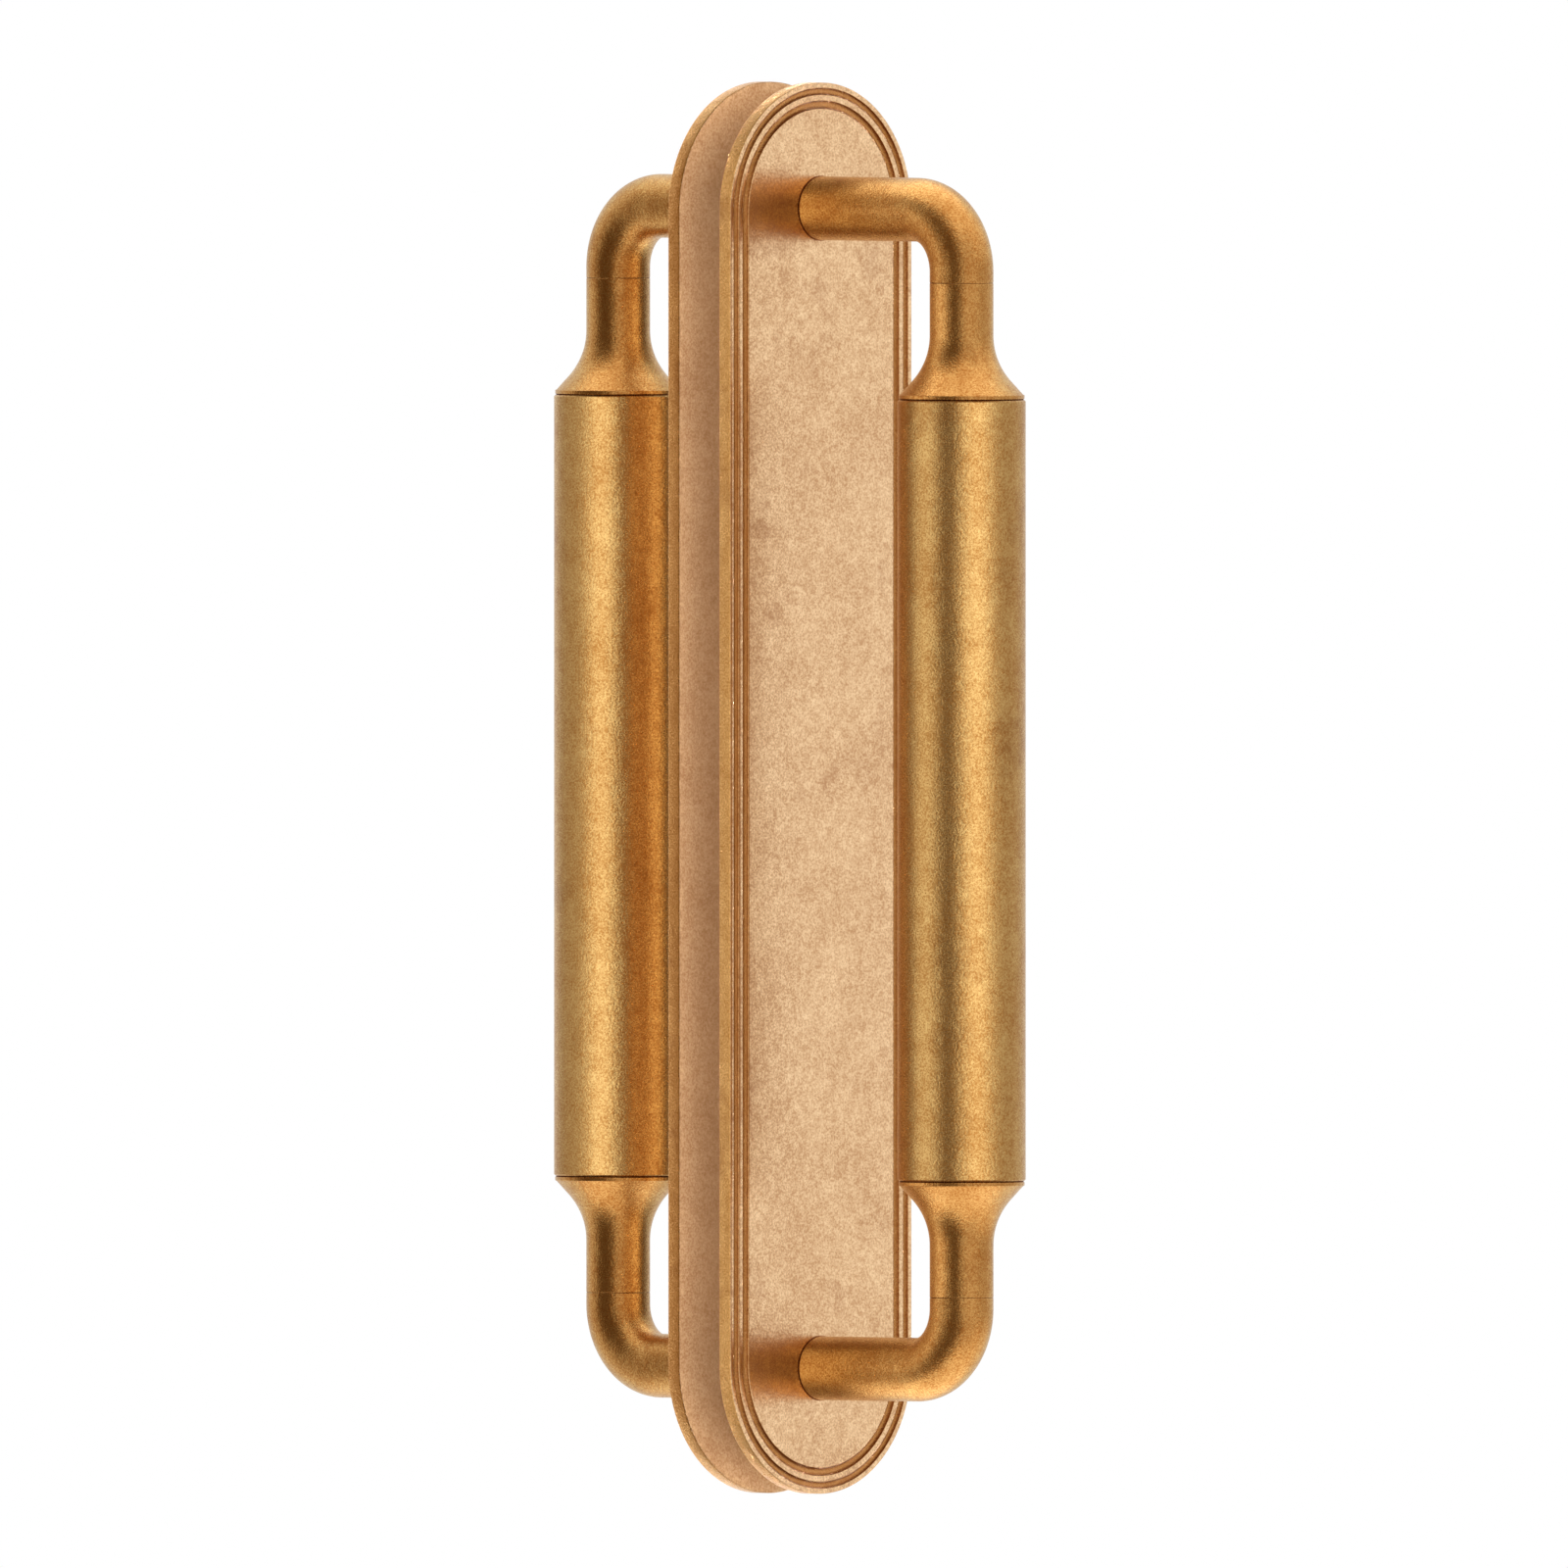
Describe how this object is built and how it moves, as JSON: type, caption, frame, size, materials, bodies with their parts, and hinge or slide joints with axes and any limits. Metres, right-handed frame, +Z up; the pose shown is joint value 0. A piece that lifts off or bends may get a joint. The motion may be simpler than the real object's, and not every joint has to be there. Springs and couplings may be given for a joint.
{
  "type": "back-to-back pull handle",
  "caption": "Back-to-back door pull handles on tall stadium-shaped fluted back plates, with bent round posts, flared necks and thick round tubular grips in burnished brass.",
  "frame": {"origin": "the middle of the pair: halfway through the door, halfway between the two fixing axes and on the plates' centre line", "axes": "+Z up along the grips, +X sideways along the door's face, +Y through the door towards the rear handle, so the front handle is at minus Y"},
  "size_m": [0.067, 0.1576, 0.365],
  "materials": {
    "brass": "satin, burnished and lightly aged",
    "steel": "plain zinc-plated fastener"
  },
  "bodies": {
    "root": {"front_backplate": "brass", "rear_backplate": "brass", "front_upper_elbow_post": "brass", "front_lower_elbow_post": "brass", "rear_upper_elbow_post": "brass", "rear_lower_elbow_post": "brass", "front_upper_neck": "brass", "front_lower_neck": "brass", "rear_upper_neck": "brass", "rear_lower_neck": "brass", "front_grip": "brass", "rear_grip": "brass", "front_upper_neck_stud": "steel", "front_lower_neck_stud": "steel", "rear_upper_neck_stud": "steel", "rear_lower_neck_stud": "steel", "upper_through_stud": "steel", "lower_through_stud": "steel", "rear_upper_set_screw": "steel", "rear_lower_set_screw": "steel"}
  },
  "joints": []
}
